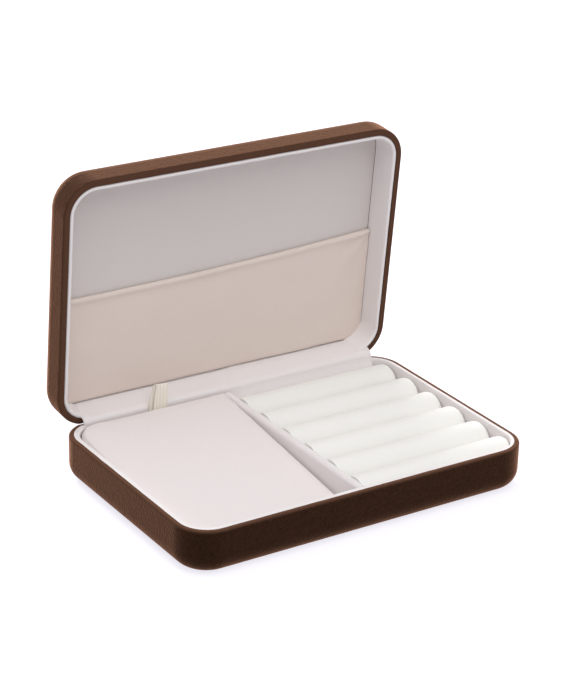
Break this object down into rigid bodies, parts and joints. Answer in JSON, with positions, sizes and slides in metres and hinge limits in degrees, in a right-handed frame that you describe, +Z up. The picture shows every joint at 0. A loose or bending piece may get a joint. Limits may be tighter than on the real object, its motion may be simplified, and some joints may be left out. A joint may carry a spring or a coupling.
{
  "type": "jewellery case",
  "caption": "Hinged suede-finish leatherette jewellery case, lid standing open, with padded ring rolls, a sloping lift-out pad with a ribbon pull and a fabric lid pocket.",
  "frame": {"origin": "centre of the base's underside", "axes": "+X along the hinge to the ring-roll side, +Y towards the hinge side, +Z up from the surface that the case stands on"},
  "size_m": [0.18, 0.1382, 0.1428],
  "materials": {
    "suede_leatherette": "suede-finish leatherette, short brushed nap",
    "moulded_shell": "moulded, unseen under the cover and linings",
    "hinge_steel": "plated pressed steel",
    "roll_velvet": "ecru velvet, short pile",
    "pad_velvet": "ecru velvet, short pile",
    "pad_fibreboard": "plain fibreboard",
    "satin_ribbon": "satin ribbon",
    "pocket_fabric": "soft brushed fabric",
    "elastic": "covered round elastic",
    "panel_velvet": "short velvet on card",
    "lining_velvet": "short velvet on card"
  },
  "bodies": {
    "base": {"base_cover": "suede_leatherette", "base_shell": "moulded_shell", "base_wall_lining": "lining_velvet", "base_floor_lining": "lining_velvet", "compartment_divider": "roll_velvet", "pad_rear_rail": "lining_velvet", "base_hinge_rivets": "hinge_steel", "snap_spring": "hinge_steel", "hinge_flap": "lining_velvet", "ring_roll_1": "roll_velvet", "ring_roll_2": "roll_velvet", "ring_roll_3": "roll_velvet", "ring_roll_4": "roll_velvet", "ring_roll_5": "roll_velvet", "ring_roll_6": "roll_velvet", "base_hinge_leaf_left": "hinge_steel", "hinge_pin_left": "hinge_steel", "base_hinge_leaf_right": "hinge_steel", "hinge_pin_right": "hinge_steel"},
    "lid": {"lid_cover": "suede_leatherette", "lid_shell": "moulded_shell", "lid_wall_lining": "lining_velvet", "lid_panel": "panel_velvet", "lid_pocket": "pocket_fabric", "pocket_elastic": "elastic", "lid_hinge_rivets": "hinge_steel", "lid_hinge_leaf_left": "hinge_steel", "lid_hinge_leaf_right": "hinge_steel"},
    "pad": {"pad_board": "pad_fibreboard", "pad_cushion": "pad_velvet", "pull_ribbon": "satin_ribbon"}
  },
  "joints": [
    {"name": "lid_hinge", "type": "hinge", "parent": "base", "child": "lid", "pos_m": [0, 0.0597, 0.02165], "axis": [1, 0, 0], "range_deg": [0, 85], "deforming": ["hinge_flap", "snap_spring"]},
    {"name": "pad_lift", "type": "slide", "parent": "base", "child": "pad", "axis": [0, 0, 1], "range_m": [0, 0.01], "deforming": ["pull_ribbon"]}
  ]
}
